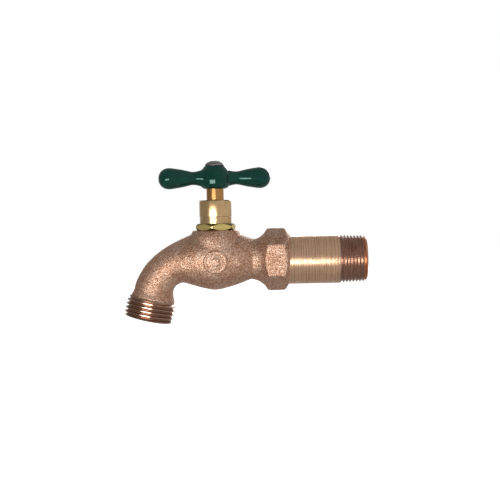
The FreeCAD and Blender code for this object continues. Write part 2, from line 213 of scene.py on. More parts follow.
def revolved(outline: Outline, closed: bool = False, steps: int = 96) -> Form:
    """Spins an outline about the upright axis.

    Args:
        outline: Points as (height, radius). An open outline starts and ends on the axis.
        closed: Whether the last point joins the first, as for a ring.
        steps: Faces round the turn.

    Returns:
        The closed shape.
    """
    form = Form()
    verts = [form.bm.verts.new((radius, 0.0, height)) for height, radius in outline]
    pairs = list(zip(verts, verts[1:])) + ([(verts[-1], verts[0])] if closed else [])
    edges = [form.bm.edges.new(pair) for pair in pairs]
    bmesh.ops.spin(form.bm, geom=verts + edges, cent=(0, 0, 0), axis=(0, 0, 1),
                   angle=math.tau, steps=steps, use_merge=True)
    return form.outward()


def prism(across_flats: float, bottom: float, top: float, turn: float = 0.0) -> Form:
    """An upright hexagonal bar.

    Args:
        across_flats: Its width from flat to flat.
        bottom: Height of its lower end.
        top: Height of its upper end.
        turn: Degrees from +X to its first corner.

    Returns:
        The closed shape.
    """
    form = Form()
    radius = across_flats / 2 / math.cos(math.pi / 6)
    place = Matrix.Translation((0, 0, (bottom + top) / 2)) @ Matrix.Rotation(math.radians(turn), 4, "Z")
    bmesh.ops.create_cone(form.bm, cap_ends=True, segments=6, radius1=radius, radius2=radius,
                          depth=top - bottom, matrix=place)
    # create_cone sets its first corner on +Y, and a quarter turn brings a hexagon's corner to +X
    bmesh.ops.rotate(form.bm, cent=(0, 0, 0), matrix=Matrix.Rotation(-math.pi / 2, 3, "Z"),
                     verts=form.bm.verts)
    return form.outward()


def bar(length: float, width: float, bottom: float, top: float) -> Form:
    """A box centred on the upright axis.

    Args:
        length: Its size along X.
        width: Its size along Y.
        bottom: Height of its lower face.
        top: Height of its upper face.

    Returns:
        The closed shape.
    """
    form = Form()
    bmesh.ops.create_cube(form.bm, size=1.0)
    place = Matrix.Translation((0, 0, (bottom + top) / 2))
    return form.move(place @ Matrix.Diagonal((length, width, top - bottom, 1))).outward()


@dataclass(frozen=True)
class Station:
    """One oval section of the casting's skin.

    x and z are its centre, lean is the fall of the path there in degrees, and the halves are its size.
    """

    x: float
    z: float
    lean: float
    half_height: float
    half_width: float

    def placed(self, shrink: float = 0.0) -> Matrix:
        """The place of this section.

        Args:
            shrink: How much smaller it is drawn all round.

        Returns:
            The matrix that puts a unit circle on it.
        """
        slope = math.radians(self.lean)
        up = Vector((-math.sin(slope), 0, math.cos(slope))) * (self.half_height - shrink)
        side = Vector((0, 1, 0)) * (self.half_width - shrink)
        along = Vector((-math.cos(slope), 0, -math.sin(slope)))
        matrix = Matrix((up, side, along)).transposed().to_4x4()
        matrix.translation = (self.x, 0, self.z)
        return matrix

    def values(self) -> Vector:
        """All five sizes as one vector."""
        return Vector((self.x, self.z, self.lean, self.half_height, self.half_width))


def eased(stations: Sequence[Station], steps: int = 8) -> list[Station]:
    """Fills in stations on a smooth curve through the given ones.

    Args:
        stations: The given ones, in order.
        steps: Stations from one given one up to the next.

    Returns:
        All of them, in order.
    """
    rows = [s.values() for s in stations]
    rows = [rows[0] * 2 - rows[1]] + rows + [rows[-1] * 2 - rows[-2]]
    out: list[Station] = []
    for a, b, c, d in zip(rows, rows[1:], rows[2:], rows[3:]):
        for step in range(steps):
            t = step / steps
            row = b * 2 + (c - a) * t + (a * 2 - b * 5 + c * 4 - d) * t ** 2
            row = row + (b * 3 - a - c * 3 + d) * t ** 3
            out.append(Station(*(row / 2)))
    out.append(stations[-1])
    return out


def lofted(stations: Sequence[Station], shrink: float = 0.0, segments: int = 72) -> Form:
    """A closed skin through oval sections.

    Args:
        stations: The sections in order.
        shrink: How much smaller each section is drawn, for a hollow inside the same path.
        segments: Faces round each section.

    Returns:
        The closed shape.
    """
    form = Form()
    rings = []
    for station in stations:
        ring = bmesh.ops.create_circle(form.bm, cap_ends=False, segments=segments, radius=1.0)["verts"]
        bmesh.ops.transform(form.bm, matrix=station.placed(shrink), verts=ring)
        rings.append(list({edge for vert in ring for edge in vert.link_edges}))
    for ring, after in zip(rings, rings[1:]):
        bmesh.ops.bridge_loops(form.bm, edges=ring + after)
    bmesh.ops.holes_fill(form.bm, edges=[e for e in form.bm.edges if e.is_boundary], sides=0)
    return form.outward()


@dataclass(frozen=True)
class Thread:
    """A cut screw thread along an upright axis, with its open end at height 0.

    radius is the crest's, land and root_flat are the flats on a crest and in a root, chamfer is how far the
    open end is turned down, and run_out is how far the cut fades at its inner end.
    """

    radius: float
    pitch: float
    depth: float
    length: float
    land: float
    chamfer: float
    run_out: float
    taper: float = 0.0            # fall of the radius for each millimetre towards the open end
    root_flat: float = 0.12       # as a share of the pitch
    root_end: bool = False        # fades to the root instead of to the crest
    steps: int = 96               # faces round the turn

    def envelope(self, height: float) -> float:
        """The radius of the bar that the thread was cut in, with its chamfered end."""
        cone = self.radius - self.taper * (self.length - height)
        return min(cone, self.radius - self.taper * self.length - self.chamfer + max(height, 0.0))

    def sheet(self) -> Form:
        """Builds the threaded surface, trimmed square at both ends.

        Returns:
            The open surface.
        """
        form = Form()
        land, root = self.land / self.pitch, self.root_flat
        fall = [(0.0, 1.0), (land / 2, 1.0), ((1 - root) / 4 + land / 4, 0.5), ((1 - root) / 2, 0.0)]
        rise = [((1 + root) / 2, 0.0), ((3 + root) / 4 - land / 4, 0.5), (1 - land / 2, 1.0), (1.0, 1.0)]
        shape = fall + [(0.5, -0.03)] + rise
        turns = math.ceil(self.length / self.pitch) + 2
        verts = [form.bm.verts.new((self.radius - self.depth * (1 - high), 0, (share - 1.5) * self.pitch))
                 for share, high in shape]
        edges = [form.bm.edges.new(pair) for pair in zip(verts, verts[1:])]
        bmesh.ops.spin(form.bm, geom=verts + edges, cent=(0, 0, 0), axis=(0, 0, 1),
                       dvec=(0, 0, self.pitch / self.steps), angle=math.tau * turns, steps=self.steps * turns)
        bmesh.ops.remove_doubles(form.bm, verts=form.bm.verts, dist=0.002)
        for vert in form.bm.verts:
            height, out = vert.co.z, vert.co.xy.length
            wanted = out - self.taper * (self.length - height)
            fade = min(max((height - self.length + self.run_out) / self.run_out, 0.0), 1.0)
            fade = fade * fade * (3 - 2 * fade)
            inner = self.radius - self.depth if self.root_end else self.radius
            wanted += (inner - wanted) * fade
            vert.co.xy *= min(wanted, self.envelope(height)) / out
        for height, facing in ((0.0, -1.0), (self.length, 1.0)):
            geometry = form.bm.verts[:] + form.bm.edges[:] + form.bm.faces[:]
            bmesh.ops.bisect_plane(form.bm, geom=geometry, dist=1e-5, plane_co=(0, 0, height),
                                   plane_no=(0, 0, facing), clear_outer=True)
        return form

    def tube(self, bore: float, mouth: float, inner: Outline) -> Form:
        """The threaded surface closed into a tube.

        Args:
            bore: The bore's radius.
            mouth: The chamfer at the bore's open end.
            inner: Outline of the outside beyond the thread, as (height, radius), away from the open end.

        Returns:
            The closed tube.
        """
        form = self.sheet()
        bm = form.bm

        def grow(edges: list, height: float, radius: float) -> list:
            """Extrudes a rim.

            Args:
                edges: The rim's edges.
                height: The new rim's mean height.
                radius: The new rim's mean radius.

            Returns:
                The new rim's edges.
            """
            rim = [vert for edge in edges for vert in edge.verts]
            before = sum(v.co.xy.length for v in rim) / len(rim)
            rise = height - sum(v.co.z for v in rim) / len(rim)
            made = bmesh.ops.extrude_edge_only(bm, edges=edges)["geom"]
            verts = [g for g in made if isinstance(g, bmesh.types.BMVert)]
            for vert in verts:
                vert.co.xy *= radius / before
                vert.co.z += rise
            return [g for g in made if isinstance(g, bmesh.types.BMEdge) and g.is_boundary]

        rims = [e for e in bm.edges if e.is_boundary]
        low = [e for e in rims if e.verts[0].co.z < self.length / 2]
        high = [e for e in rims if e.verts[0].co.z > self.length / 2]
        for height, radius in inner:
            high = grow(high, height, radius)
        top = inner[-1][0]
        for height, radius in ((0.0, bore + mouth), (mouth, bore), (top * 0.5, bore), (top, bore)):
            low = grow(low, height, radius)
        bmesh.ops.bridge_loops(bm, edges=low + high)
        bmesh.ops.triangulate(bm, faces=[f for f in bm.faces if len(f.verts) > 4])
        return form.outward()


# ---------------------------------------------------------------- finishes
def linear(colour: str) -> tuple[float, float, float, float]:
    """An sRGB hex colour as Blender's linear RGBA."""
    parts = (int(colour[i:i + 2], 16) / 255 for i in (1, 3, 5))
    return (*(c / 12.92 if c <= 0.04045 else ((c + 0.055) / 1.055) ** 2.4 for c in parts), 1.0)


def add(tree: bpy.types.NodeTree, kind: str, inputs: dict | None = None,
        stops: Sequence[tuple[float, str]] = (), **settings: object) -> bpy.types.Node:
    """Adds a node with its settings and links.

    Args:
        tree: The tree that gets the node.
        kind: The node's type, after "ShaderNode".
        inputs: Values or outputs of other nodes, by the input's name or number.
        stops: Positions and sRGB colours of a colour ramp.
        settings: The node's own properties.

    Returns:
        The new node.
    """
    node = tree.nodes.new("ShaderNode" + kind)
    for key, value in settings.items():
        setattr(node, key, value)
    for key, value in (inputs or {}).items():
        if isinstance(value, bpy.types.NodeSocket):
            tree.links.new(value, node.inputs[key])
        else:
            node.inputs[key].default_value = value
    for index, (position, colour) in enumerate(stops):
        elements = node.color_ramp.elements
        element = elements[index] if index < 2 else elements.new(position)
        element.position = position
        element.color = linear(colour)
    return node


def per_mm(size: float) -> float:
    """The texture scale whose features are this many millimetres."""
    return 1.0 / (size * MM)


@dataclass(frozen=True)
class Finish:
    """What every finish has: a name and the base of its shader."""

    name: str

    def start(self) -> tuple[bpy.types.Material, bpy.types.NodeTree, bpy.types.NodeSocket]:
        """Makes an empty material.

        Returns:
            The material, its node tree, and the output that gives the object's coordinates.
        """
        material = bpy.data.materials.new(self.name)
        material.use_nodes = True
        tree = material.node_tree
        tree.nodes.clear()
        return material, tree, add(tree, "TexCoord").outputs["Object"]

    @staticmethod
    def close(tree: bpy.types.NodeTree, inputs: dict) -> None:
        """Adds the Principled shader with these inputs and the output."""
        shader = add(tree, "BsdfPrincipled", inputs)
        add(tree, "OutputMaterial", {"Surface": shader.outputs[0]})


@dataclass(frozen=True)
class SandCastBronze(Finish):
    """Red bronze, cast in sand and only shaken clean.

    The eye sees a matt pinkish metal that sparkles finely where the sand's grains pressed it, under faint
    clouds of thin oxide.
    """

    name: str = "sand_cast_red_bronze"
    grain: float = 0.66           # mm; moulding sand is 0.2 to 0.3, drawn coarser so that it shows
    cloud: float = 9.0            # mm; patches of oxide
    pale: str = "#ECD4C2"
    body: str = "#D4AC92"
    shade: str = "#986D56"
    oxide: str = "#E4D0C0"
    roughness: float = 0.53
    relief: float = 0.34          # mm from pit to grain, deeper than real as the grains are coarser

    def material(self) -> bpy.types.Material:
        """Builds the material.

        Returns:
            The material.
        """
        material, tree, place = self.start()
        grain = add(tree, "TexNoise", {"Vector": place, "Scale": per_mm(self.grain), "Detail": 2.0,
                                       "Roughness": 0.6})
        cloud = add(tree, "TexNoise", {"Vector": place, "Scale": per_mm(self.cloud), "Detail": 5.0,
                                       "Roughness": 0.62})
        speck = add(tree, "ValToRGB", {"Fac": grain.outputs["Fac"]},
                    stops=((0.34, self.shade), (0.66, self.pale), (0.5, self.body)))
        tint = add(tree, "ValToRGB", {"Fac": cloud.outputs["Fac"]},
                   stops=((0.36, self.oxide), (0.62, "#FFFFFF")))
        colour = add(tree, "MixRGB", {"Fac": 0.8, "Color1": speck.outputs[0], "Color2": tint.outputs[0]},
                     blend_type="MULTIPLY")
        rough = add(tree, "MapRange", {"Value": grain.outputs["Fac"], "From Min": 0.3, "From Max": 0.7,
                                       "To Min": self.roughness + 0.08, "To Max": self.roughness - 0.06})
        bump = add(tree, "Bump", {"Height": grain.outputs["Fac"], "Distance": self.relief * MM,
                                  "Strength": 0.8})
        self.close(tree, {"Base Color": colour.outputs[0], "Metallic": 1.0, "Roughness": rough.outputs[0],
                          "Normal": bump.outputs[0]})
        return material


@dataclass(frozen=True)
class TurnedMetal(Finish):
    """Metal cut or drawn round an axis.

    The eye sees fine rings round the axis, a streak of light along it, and a thin cloudy tarnish.
    """

    colour: str
    ring_colour: str
    axis: str                     # of the rings
    ring: float                   # mm between tool marks, drawn coarser than the real 0.1 so that they show
    roughness: float
    relief: float                 # mm from the rings' roots to their crests, deeper than real
    stain: float                  # how much the tarnish shows, up to 1
    stain_colour: str
    cloud: float = 6.0            # mm; patches of tarnish

    def material(self) -> bpy.types.Material:
        """Builds the material.

        Returns:
            The material.
        """
        material, tree, place = self.start()
        parts = add(tree, "SeparateXYZ", {0: place})
        rings = add(tree, "TexNoise", {"W": parts.outputs[self.axis], "Scale": per_mm(self.ring),
                                       "Detail": 3.0, "Roughness": 0.7}, noise_dimensions="1D")
        cloud = add(tree, "TexNoise", {"Vector": place, "Scale": per_mm(self.cloud), "Detail": 4.0,
                                       "Roughness": 0.65})
        lines = add(tree, "ValToRGB", {"Fac": rings.outputs["Fac"]},
                    stops=((0.35, self.ring_colour), (0.62, self.colour)))
        share = add(tree, "MapRange", {"Value": cloud.outputs["Fac"], "From Min": 0.45, "From Max": 0.7,
                                       "To Min": 0.0, "To Max": self.stain})
        colour = add(tree, "MixRGB", {"Fac": share.outputs[0], "Color1": lines.outputs[0],
                                      "Color2": linear(self.stain_colour)})
        rough = add(tree, "MapRange", {"Value": cloud.outputs["Fac"], "From Min": 0.3, "From Max": 0.7,
                                       "To Min": self.roughness - 0.04, "To Max": self.roughness + 0.08})
        bump = add(tree, "Bump", {"Height": rings.outputs["Fac"], "Distance": self.relief * MM,
                                  "Strength": 0.6})
        self.close(tree, {"Base Color": colour.outputs[0], "Metallic": 1.0, "Roughness": rough.outputs[0],
                          "Normal": bump.outputs[0]})
        return material


@dataclass(frozen=True)
class DippedEnamel(Finish):
    """Stoved enamel over a die casting: deep green, wet gloss and a faint orange peel."""

    name: str = "stoved_green_enamel"
    deep: str = "#053029"
    thin: str = "#073A31"
    sheen: str = "#B4E2D8"
    peel: float = 3.5             # mm
    relief: float = 0.06          # mm
    roughness: float = 0.09

    def material(self) -> bpy.types.Material:
        """Builds the material.

        Returns:
            The material.
        """
        material, tree, place = self.start()
        peel = add(tree, "TexNoise", {"Vector": place, "Scale": per_mm(self.peel), "Detail": 3.0})
        colour = add(tree, "ValToRGB", {"Fac": peel.outputs["Fac"]},
                     stops=((0.35, self.deep), (0.7, self.thin)))
        bump = add(tree, "Bump", {"Height": peel.outputs["Fac"], "Distance": self.relief * MM,
                                  "Strength": 0.5})
        self.close(tree, {"Base Color": colour.outputs[0], "Roughness": self.roughness, "IOR": 1.5,
                          "Specular Tint": linear(self.sheen), "Normal": bump.outputs[0]})
        return material


@dataclass(frozen=True)
class SoftStuff(Finish):
    """Rubber, fibre or graphite packing: dull, with a mottled moulded or pressed surface."""

    dark: str
    light: str
    grain: float                  # mm
    roughness: float
    relief: float = 0.04          # mm

    def material(self) -> bpy.types.Material:
        """Builds the material.

        Returns:
            The material.
        """
        material, tree, place = self.start()
        grain = add(tree, "TexNoise", {"Vector": place, "Scale": per_mm(self.grain), "Detail": 4.0})
        colour = add(tree, "ValToRGB", {"Fac": grain.outputs["Fac"]},
                     stops=((0.35, self.dark), (0.68, self.light)))
        bump = add(tree, "Bump", {"Height": grain.outputs["Fac"], "Distance": self.relief * MM,
                                  "Strength": 0.5})
        self.close(tree, {"Base Color": colour.outputs[0], "Roughness": self.roughness,
                          "Normal": bump.outputs[0]})
        return material


class Finishes:
    """One material of each kind, made once."""

    def __init__(self) -> None:
        """Makes them all."""
        self.casting = SandCastBronze().material()
        # Bronze turned in a lathe: plain rings and one bright streak along the pipe.
        self.shank = TurnedMetal("turned_red_bronze", "#FFD6B2", "#C4936F", "X", 0.5, 0.25, 0.072,
                                 0.3, "#9A7A62").material()
        # Bronze torn a little by the die, the same metal as the shank: painted darker and browner than it as
        # shade in the thread's grooves, with dull flanks.
        self.pipe_thread = TurnedMetal("pipe_thread_painted_shade", "#D0B0A0", "#B09080", "X", 0.5, 0.26, 0.024,
                                       0.5, "#967462").material()
        # The end face and its chamfer, fresh from the tool: the reddest metal on the valve.
        self.pipe_mouth = TurnedMetal("faced_bronze", "#DE9E78", "#C88862", "X", 0.3, 0.32, 0.016,
                                      0.35, "#9A7A62").material()
        # Crests of the spout's thread, polished by couplings: small hard glints.
        self.hose_thread = TurnedMetal("die_cut_hose_thread", "#BE9C88", "#A68372", "Z", 0.5, 0.17, 0.008,
                                       0.5, "#96786A").material()
        # Roots of that thread, which nothing rubs: rougher, with a slightly darker colour that is painted
        # shade in the grooves, so that the crests stand out.
        self.thread_root = TurnedMetal("thread_root_painted_shade", "#BC9A86", "#A48470", "Z", 0.5, 0.34, 0.008,
                                       0.5, "#8C7464").material()
        # Forged brass with milled flats: greenish yellow and satin.
        self.bonnet = TurnedMetal("forged_yellow_brass", "#F4DE90", "#E0C676", "Z", 0.5, 0.36, 0.024,
                                  0.35, "#CCB070").material()
        # The flange's slopes: a rougher brass, painted dark olive as painted shade for the dark room they
        # reflect, so that each flat has an outline.
        self.slope_painted_shade = TurnedMetal("flange_slope_painted_shade", "#94804C", "#7C683A", "Z", 0.5, 0.45, 0.008,
                                        0.5, "#5E4A2A").material()
        # Free-cutting brass from the lathe: warm, nearly mirror bright, with brown finger stains.
        self.nut = TurnedMetal("turned_free_cutting_brass", "#F2CE9A", "#DDB684", "Z", 0.3, 0.2, 0.008,
                               0.5, "#B48A56").material()
        # Drawn rod, left as it came: orange and smooth.
        self.stem = TurnedMetal("drawn_stem_bronze", "#D9A566", "#B9854F", "Z", 0.4, 0.22, 0.0,
                                0.2, "#A0603F").material()
        # Zinc on steel: a cool grey with a slight purple cast.
        self.screw = TurnedMetal("zinc_plated_steel", "#A09A9A", "#8C8486", "Z", 0.4, 0.32, 0.016,
                                 0.4, "#6A5A5C").material()
        self.enamel = DippedEnamel().material()
        # Moulded nitrile rubber: near black and matt.
        self.rubber = SoftStuff("moulded_rubber", "#15161A", "#2A2B30", 0.6, 0.7).material()
        # Graphited cord pressed in its box: black with a greasy grey sheen.
        self.graphite = SoftStuff("graphite_packing", "#1B1B1D", "#3A3A3E", 0.9, 0.5).material()
        # Vulcanised fibre, punched from sheet: brick red and dull.
        self.fibre = SoftStuff("vulcanised_fibre", "#6E241B", "#8C3526", 0.8, 0.75).material()


# ---------------------------------------------------------------- sub-assemblies
def settle(thing: bpy.types.Object, body: Body, node: str) -> bpy.types.Object:
    """Makes a finished piece ride on a body and stand for a CAD node.

    Args:
        thing: The piece.
        body: The body it moves with.
        node: The CAD node it stands for.

    Returns:
        The piece.
    """
    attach(thing, body.value)
    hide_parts(node)
    LOG.info("%s: %d faces, rides on %s", thing.name, len(thing.data.polygons), body.value)
    return thing


@dataclass
class SpoutEnd:
    """Where the spout's hose thread is."""

    reach: float = 38.6
    drop: float = 31.35
    lean: float = 13.5

    def place(self) -> Matrix:
        """Puts the rim's centre at the origin of an upright shape, with up pointing into the spout."""
        turn = Matrix.Rotation(math.radians(self.lean), 4, "Y")
        return Matrix.Translation((-self.reach, 0, -self.drop)) @ turn


@dataclass
class WrenchHexagon:
    """The cast hexagon on the inlet, an outline about the inlet's axis cut by six flats."""

    middle: float = 33.6          # from the stem axis
    rise: float = 0.6
    across_flats: float = 29.8
    outline: Outline = (
        (-22, 0), (-22, 10.5), (-14.1, 10.6), (-11, 11.3), (-9.1, 12.3), (-7.4, 13.7), (-6.3, 15.0),
        (-5.5, 16.3), (-4.8, 17.2), (-3.2, 17.6), (1.6, 17.6), (3.3, 17.3), (4.4, 16.6), (5.3, 15.2),
        (6.1, 13.9), (6.8, 13.35), (7.4, 12.9), (7.4, 0),
    )

    def shape(self) -> Form:
        """The hexagon in its place."""
        flats = prism(self.across_flats, bottom=-23, top=12)
        place = Matrix.Translation((self.middle, 0, self.rise)) @ TO_X
        return revolved(self.outline).modified(cut("INTERSECT", flats)).move(place)


@dataclass
class WaterWay:
    """The cores that leave the casting hollow, each about its own upright axis."""

    wall: float = 2.6
    spout_from: float = -15.0     # where the spout's own hollow starts
    inlet: Outline = ((18.5, 0), (18.5, 7.8), (32, 7.8), (38, 9.6), (46, 9.6), (46, 0))
    inlet_rise: float = 0.3
    port: Outline = ((-17, 0), (-17, 5.6), (-3, 5.6), (-3, 0))
    port_rise: float = 4.6
    throat: Outline = ((-4.2, 0), (-3.6, 2.1), (-2.1, 3.6), (0, 4.2), (14, 4.2), (14, 0))
    throat_foot: tuple[float, float] = (11.94, -6.77)
    throat_lean: float = 50.0
    pool: Outline = ((-11, 0), (-11, 8.6), (-4.3, 8.6), (-4.3, 0))
    pool_shift: float = 2.5
    chamber: Outline = ((-1.5, 0), (-1.5, 8.9), (12, 8.9), (12, 8.75), (16.3, 8.75), (16.3, 10.45),
                        (19, 10.45), (19, 0))
    seat: Outline = ((-6, 0), (-6, 5.6), (0, 5.6), (0, 0))

    def shape(self, skin: Sequence[Station]) -> Form:
        """The cores as overlapping closed shapes.

        Args:
            skin: The casting's sections, inside which the spout's hollow is drawn.

        Returns:
            All the cores.
        """
        way = [station for station in skin if station.x < self.spout_from]
        end = way[-1]
        way.append(Station(end.x - 0.5, end.z - 2.0, end.lean, end.half_height, end.half_width))
        foot = self.throat_foot
        lean = Matrix.Rotation(math.radians(self.throat_lean), 4, "Y")
        return Form().add(
            lofted(way, self.wall),
            revolved(self.inlet).move(Matrix.Translation((0, 0, self.inlet_rise)) @ TO_X),
            revolved(self.port).move(Matrix.Translation((0, 0, self.port_rise)) @ TO_X),
            revolved(self.throat).move(Matrix.Translation((foot[0], 0, foot[1])) @ lean),
            revolved(self.pool).move(Matrix.Translation((self.pool_shift, 0, 0))),
            revolved(self.chamber),
            revolved(self.seat),
        )


@dataclass
class FoundryMark:
    """A plain ring and button, raised on the globe's front where foundries put their badge."""

    height: float = 0.42
    ring_radius: float = 5.6
    ring_half_width: float = 0.85
    button_radius: float = 2.3
    margin: float = 1.6           # how far beyond the ring the skin is refined
    rise: float = 0.2             # of its centre, above the inlet axis
    front: float = -8.0           # skin beyond this is the front

    def raise_on(self, form: Form) -> Form:
        """Raises the mark on a casting.

        Args:
            form: The casting.

        Returns:
            The same casting.
        """
        bm = form.bm
        centre = Vector((0.0, self.rise))

        def distance(point: Vector) -> float:
            """How far a point is from the mark's centre, seen from the front."""
            return (Vector((point.x, point.z)) - centre).length

        def within(point: Vector) -> bool:
            """Whether a point is on the front and near the mark."""
            return point.y < self.front and distance(point) < self.ring_radius + self.margin

        near = [face for face in bm.faces if within(face.calc_center_median())]
        edges = list({edge for face in near for edge in face.edges})
        bmesh.ops.subdivide_edges(bm, edges=edges, cuts=1, use_grid_fill=True)
        bm.normal_update()
        moves = []
        for vert in filter(lambda v: within(v.co), bm.verts):
            away = distance(vert.co)
            ring = max(0.0, 1 - (abs(away - self.ring_radius) / self.ring_half_width) ** 2)
            button = max(0.0, 1 - (away / self.button_radius) ** 6)
            moves.append((vert, vert.normal * self.height * max(ring, button) ** 0.5))
        for vert, step in moves:
            vert.co += step
        return form


@dataclass
class ValveCasting:
    """The sand-cast part of the valve body, from the wrench hexagon to the spout's end."""

    skin: tuple[Station, ...] = (
        Station(26.0, 0.8, 0, 11.2, 11.2), Station(23.4, 0.8, 0, 10.95, 10.95),
        Station(20.3, 1.15, 0, 10.7, 10.8), Station(11.5, 1.0, -1, 13.8, 14.0),
        Station(0.0, 0.8, 3, 16.3, 16.4), Station(-8.3, 0.45, 9, 15.4, 15.6),
        Station(-17.1, -0.8, 20.2, 13.0, 13.2), Station(-24.85, -2.65, 36, 10.6, 10.8),
        Station(-29.45, -5.75, 50.7, 10.05, 10.2), Station(-32.65, -9.45, 66.7, 10.15, 10.2),
        Station(-34.65, -13.45, 75.6, 10.45, 10.5), Station(-35.15, -17.4, 76.3, 11.0, 11.0),
        Station(-35.7, -20.3, 76.5, 12.25, 12.25),
    )
    boss: Outline = (
        (0, 0), (0, 15.6), (6, 15.5), (10, 14.8), (12.5, 14.3), (14.3, 13.75), (15.6, 13.05), (16.6, 12.55),
        (17.1, 12.1), (17.1, 0),
    )
    boss_shift: float = -0.25
    hexagon: WrenchHexagon = field(default_factory=WrenchHexagon)
    water_way: WaterWay = field(default_factory=WaterWay)
    mark: FoundryMark = field(default_factory=FoundryMark)
    voxel: float = 0.475
    parting_height: float = 0.22
    parting_reach: float = 0.75
    machined_from: float = 16.0   # the boss's top is faced, so no ridge is left on it
    ripple: float = 0.24          # unevenness of the mould's face
    sand: float = 0.16            # unevenness from the grains

    def leave_parting_line(self, form: Form) -> Form:
        """Leaves the low ridge round the middle, where the two halves of the sand mould met.

        Args:
            form: The casting.

        Returns:
            The same casting.
        """
        form.bm.normal_update()
        moves = []
        for vert in form.bm.verts:
            near = 1 - abs(vert.co.y) / self.parting_reach
            machined = vert.co.z > self.machined_from and vert.normal.z > 0.9
            if near > 0 and abs(vert.normal.y) < 0.5 and not machined:
                moves.append((vert, vert.normal * self.parting_height * near))
        for vert, step in moves:
            vert.co += step
        return form

    @staticmethod
    def clouds(name: str, scale: float) -> bpy.types.Texture:
        """A cloudy texture for displacement.

        Args:
            name: Its name.
            scale: The size of its clouds in millimetres.

        Returns:
            The texture.
        """
        texture = bpy.data.textures.new(name, "CLOUDS")
        texture.noise_scale, texture.noise_depth = scale, 2
        return texture

    def build(self, finishes: Finishes) -> list[bpy.types.Object]:
        """Casts it: hollows the solid, rounds every corner as a mould does, and roughens it.

        Args:
            finishes: The materials.

        Returns:
            The finished piece, alone in a list.
        """
        skin = eased(self.skin)
        boss = revolved(self.boss).move(Matrix.Translation((self.boss_shift, 0, 0)))
        form = Form().add(lofted(skin), boss, self.hexagon.shape()).modified(
            cut("DIFFERENCE", self.water_way.shape(skin), use_self=True), *cast_skin(self.voxel, passes=7))
        form = self.leave_parting_line(self.mark.raise_on(form))
        sand, ripple = self.clouds("sand", 0.9), self.clouds("ripple", 3.2)
        form = form.modified(
            ("DISPLACE", {"texture": ripple, "strength": self.ripple, "mid_level": 0.0}),
            ("DISPLACE", {"texture": sand, "strength": self.sand, "mid_level": 0.5}),
        )
        thing = form.finished("cast_valve_body", [finishes.casting], smooth_angle=70.0)
        return [settle(thing, Body.VALVE, "valve_body")]


@dataclass
class MachinedEnds:
    """The turned inlet shank with its pipe thread, and the spout's hose thread.

    Heights are from each open end, and radii from each thread's own axis.
    """

    pipe: Thread = Thread(radius=13.35, pitch=1.814, depth=1.15, length=15.6, land=0.12, chamfer=1.25,
                          run_out=1.6, taper=0.03125)
    shank: Outline = ((20.0, 13.35), (30.0, 13.35), (44.0, 13.35))
    pipe_bore: float = 9.3
    pipe_mouth: float = 0.6       # chamfer at the bore's end
    pipe_outside: float = 10.5    # faces beyond this radius are on the outside
    faced_beyond: float = 0.35    # how far the faced finish goes past the thread's chamfer
    cut_short: float = 0.2        # how far the thread's finish stops before its end
    hose: Thread = Thread(radius=13.75, pitch=2.209, depth=1.6, length=11.5, land=0.5, chamfer=0.8,
                          run_out=1.3, root_end=True)
    neck: Outline = ((11.5, 10.7), (13.5, 10.7))
    hose_bore: float = 9.2
    hose_mouth: float = 0.5       # chamfer at the bore's end
    root_from: float = 10.9       # radius where the roots start
    root_share: float = 0.6       # of the thread's depth, at which they end
    rim_height: float = 0.9       # faces below this are the polished rim
    spout: SpoutEnd = field(default_factory=SpoutEnd)

    def inlet(self, finishes: Finishes) -> bpy.types.Object:
        """Turns and threads the inlet, with a finish each for shank, thread and mouth.

        Args:
            finishes: The materials.

        Returns:
            The finished piece.
        """
        form = self.pipe.tube(self.pipe_bore, self.pipe_mouth, self.shank)
        thread_top = self.pipe.length - self.cut_short
        for face in form.bm.faces:
            middle = face.calc_center_median()
            if middle.z < self.pipe.chamfer + self.faced_beyond:
                face.material_index = 2
            elif middle.xy.length > self.pipe_outside and middle.z < thread_top:
                # thread faces take the finish painted darker as shade in the grooves
                face.material_index = 1
        form.move(Matrix.Translation((STEM_OFFSET, 0, 0)) @ Matrix.Rotation(-math.pi / 2, 4, "Y"))
        dress = [finishes.shank, finishes.pipe_thread, finishes.pipe_mouth]
        thing = form.finished("inlet_shank", dress, smooth_angle=50.0)
        return settle(thing, Body.VALVE, "valve_body")

    def outlet(self, finishes: Finishes) -> bpy.types.Object:
        """Threads the spout's end, with a finish each for crests and roots.

        Args:
            finishes: The materials.

        Returns:
            The finished piece.
        """
        form = self.hose.tube(self.hose_bore, self.hose_mouth, self.neck)
        root_to = self.hose.radius - self.root_share * self.hose.depth
        for face in form.bm.faces:
            middle = face.calc_center_median()
            root = self.root_from < middle.xy.length < root_to and middle.z > self.rim_height
            # roots take the rougher finish whose darker colour is painted shade in the grooves
            face.material_index = int(root)
        dress = [finishes.hose_thread, finishes.thread_root]
        thing = form.move(self.spout.place()).finished("spout_hose_thread", dress, smooth_angle=50.0)
        return settle(thing, Body.VALVE, "valve_body")

    def build(self, finishes: Finishes) -> list[bpy.types.Object]:
        """Makes both ends."""
        return [self.inlet(finishes), self.outlet(finishes)]


